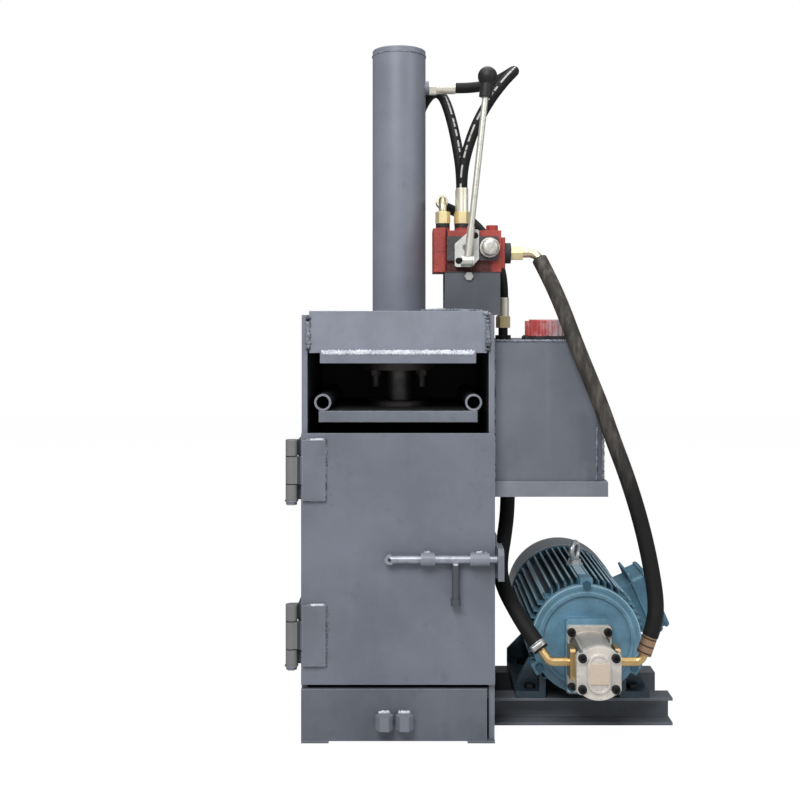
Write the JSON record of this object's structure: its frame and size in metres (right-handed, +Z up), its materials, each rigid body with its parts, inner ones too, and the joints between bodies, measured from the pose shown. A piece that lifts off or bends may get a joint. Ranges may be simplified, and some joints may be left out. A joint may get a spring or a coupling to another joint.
{
  "type": "bucket flattening machine",
  "caption": "Upright hydraulic press box with a hinged door, a ram from above, side oil tank, hand lever valve, and a finned motor with a gear pump that feeds it through hoses.",
  "frame": {"origin": "on the floor under the ram axis, at the centre of the press box", "axes": "+Z up along the ram axis, -Y out of the door towards the operator, +X towards the tank and motor"},
  "size_m": [0.701, 0.507, 1.258],
  "materials": {
    "frame_paint": "semi-gloss grey-blue paint, brushed on",
    "header_paint": "semi-gloss grey-blue paint, a little paler",
    "base_paint": "semi-gloss grey-blue paint, scuffed and darker",
    "door_paint": "semi-gloss grey-blue paint with faint sags",
    "hinge_steel": "grey-blue paint over rough weld",
    "latch_steel": "bare steel worn through pale grey paint",
    "barrel_paint": "smooth semi-gloss grey-blue paint",
    "gland_steel": "dark oiled steel",
    "rod_chrome": "polished hard chrome",
    "platen_paint": "worn grey-blue paint",
    "tank_paint": "semi-gloss grey-blue paint",
    "filler_black": "matt black",
    "cap_red": "satin red",
    "fitting_steel": "zinc plated with a yellow tint",
    "stand_paint": "semi-gloss grey-blue paint",
    "valve_red": "satin red over a rough casting",
    "cover_paint": "dark grey machined face",
    "spool_steel": "ground steel",
    "lever_steel": "zinc plated, satin",
    "knob_plastic": "matt black",
    "relief_chrome": "polished dome on a black collar",
    "nut_brass": "yellow passivated, satin",
    "hose_rubber": "matt black rubber cover",
    "beam_paint": "charcoal paint",
    "motor_paint": "semi-gloss teal-blue paint on castings",
    "cowl_paint": "semi-gloss blue-grey paint on sheet",
    "core_iron": "laminated iron",
    "fan_plastic": "matt black",
    "eye_steel": "painted forged eye",
    "pump_aluminium": "sand-cast aluminium",
    "bolt_black": "black oxide"
  },
  "bodies": {
    "press": {"anvil_plate": "base_paint", "back_wall": "frame_paint", "base_front_plate": "base_paint", "base_plate": "base_paint", "bent_pipes": "fitting_steel", "bolt_keeper": "latch_steel", "cylinder_barrel": "barrel_paint", "cylinder_gland": "gland_steel", "cylinder_mount_plate": "frame_paint", "drive_bolts": "bolt_black", "eye_bolt": "eye_steel", "fan_cowl": "cowl_paint", "filler_neck": "filler_black", "frame_hinges": "hinge_steel", "front_shield": "motor_paint", "gland_bolts": "gland_steel", "header_plate": "header_paint", "hinge_pins": "hinge_steel", "hose_clamps": "fitting_steel", "hose_sleeves": "fitting_steel", "left_wall": "frame_paint", "lever_bracket": "lever_steel", "motor_beams": "beam_paint", "motor_frame": "motor_paint", "motor_stator": "core_iron", "oil_tank": "tank_paint", "port_nuts": "nut_brass", "pressure_hose": "hose_rubber", "pump_body": "pump_aluminium", "pump_cover": "pump_aluminium", "ram_down_hose": "hose_rubber", "ram_up_hose": "hose_rubber", "rear_shield": "motor_paint", "relief_valve": "relief_chrome", "return_hose": "hose_rubber", "right_wall": "frame_paint", "suction_hose": "hose_rubber", "tank_fittings": "fitting_steel", "tank_shelf": "tank_paint", "terminal_box": "motor_paint", "terminal_lid": "motor_paint", "top_plate": "frame_paint", "valve_body": "valve_red", "valve_cover": "cover_paint", "valve_stand": "stand_paint"},
    "ram": {"piston": "rod_chrome", "piston_rod": "rod_chrome", "rod_disc": "platen_paint", "platen": "platen_paint", "guide_tubes": "frame_paint"},
    "door": {"door_panel": "door_paint", "door_hinges": "hinge_steel", "bolt_guides": "latch_steel"},
    "latch": {"latch_bolt": "latch_steel"},
    "lever": {"hand_lever": "lever_steel", "lever_knob": "knob_plastic"},
    "spool": {"valve_spool": "spool_steel"},
    "rotor": {"motor_rotor": "core_iron", "cooling_fan": "fan_plastic"},
    "cap": {"filler_cap": "cap_red"}
  },
  "joints": [
    {"name": "ram_slide", "type": "slide", "parent": "press", "child": "ram", "axis": [0, 0, -1], "range_m": [0, 0.43]},
    {"name": "door_swing", "type": "hinge", "parent": "press", "child": "door", "pos_m": [-0.187, -0.176, 0.3215], "axis": [0, 0, -1], "range_deg": [0, 150]},
    {"name": "latch_slide", "type": "slide", "parent": "door", "child": "latch", "axis": [1, 0, 0], "range_m": [-0.029, 0.0185]},
    {"name": "lever_tilt", "type": "hinge", "parent": "press", "child": "lever", "pos_m": [0.124, -0.14, 0.848], "axis": [1, 0, 0], "range_deg": [-7, 7], "stiffness_Nm_per_rad": 12},
    {"name": "spool_slide", "type": "slide", "parent": "press", "child": "spool", "axis": [0, -1, 0], "range_m": [-0.005, 0.005]},
    {"name": "rotor_spin", "type": "hinge", "parent": "press", "child": "rotor", "pos_m": [0.337, 0, 0.17], "axis": [0, 1, 0], "continuous": true},
    {"name": "cap_turn", "type": "hinge", "parent": "press", "child": "cap", "pos_m": [0.272, -0.062, 0.72], "axis": [0, 0, 1], "range_deg": [0, 90]}
  ],
  "couplings": [
    {"joint": "spool_slide", "follows": "lever_tilt", "m_per_rad": 0.026}
  ]
}
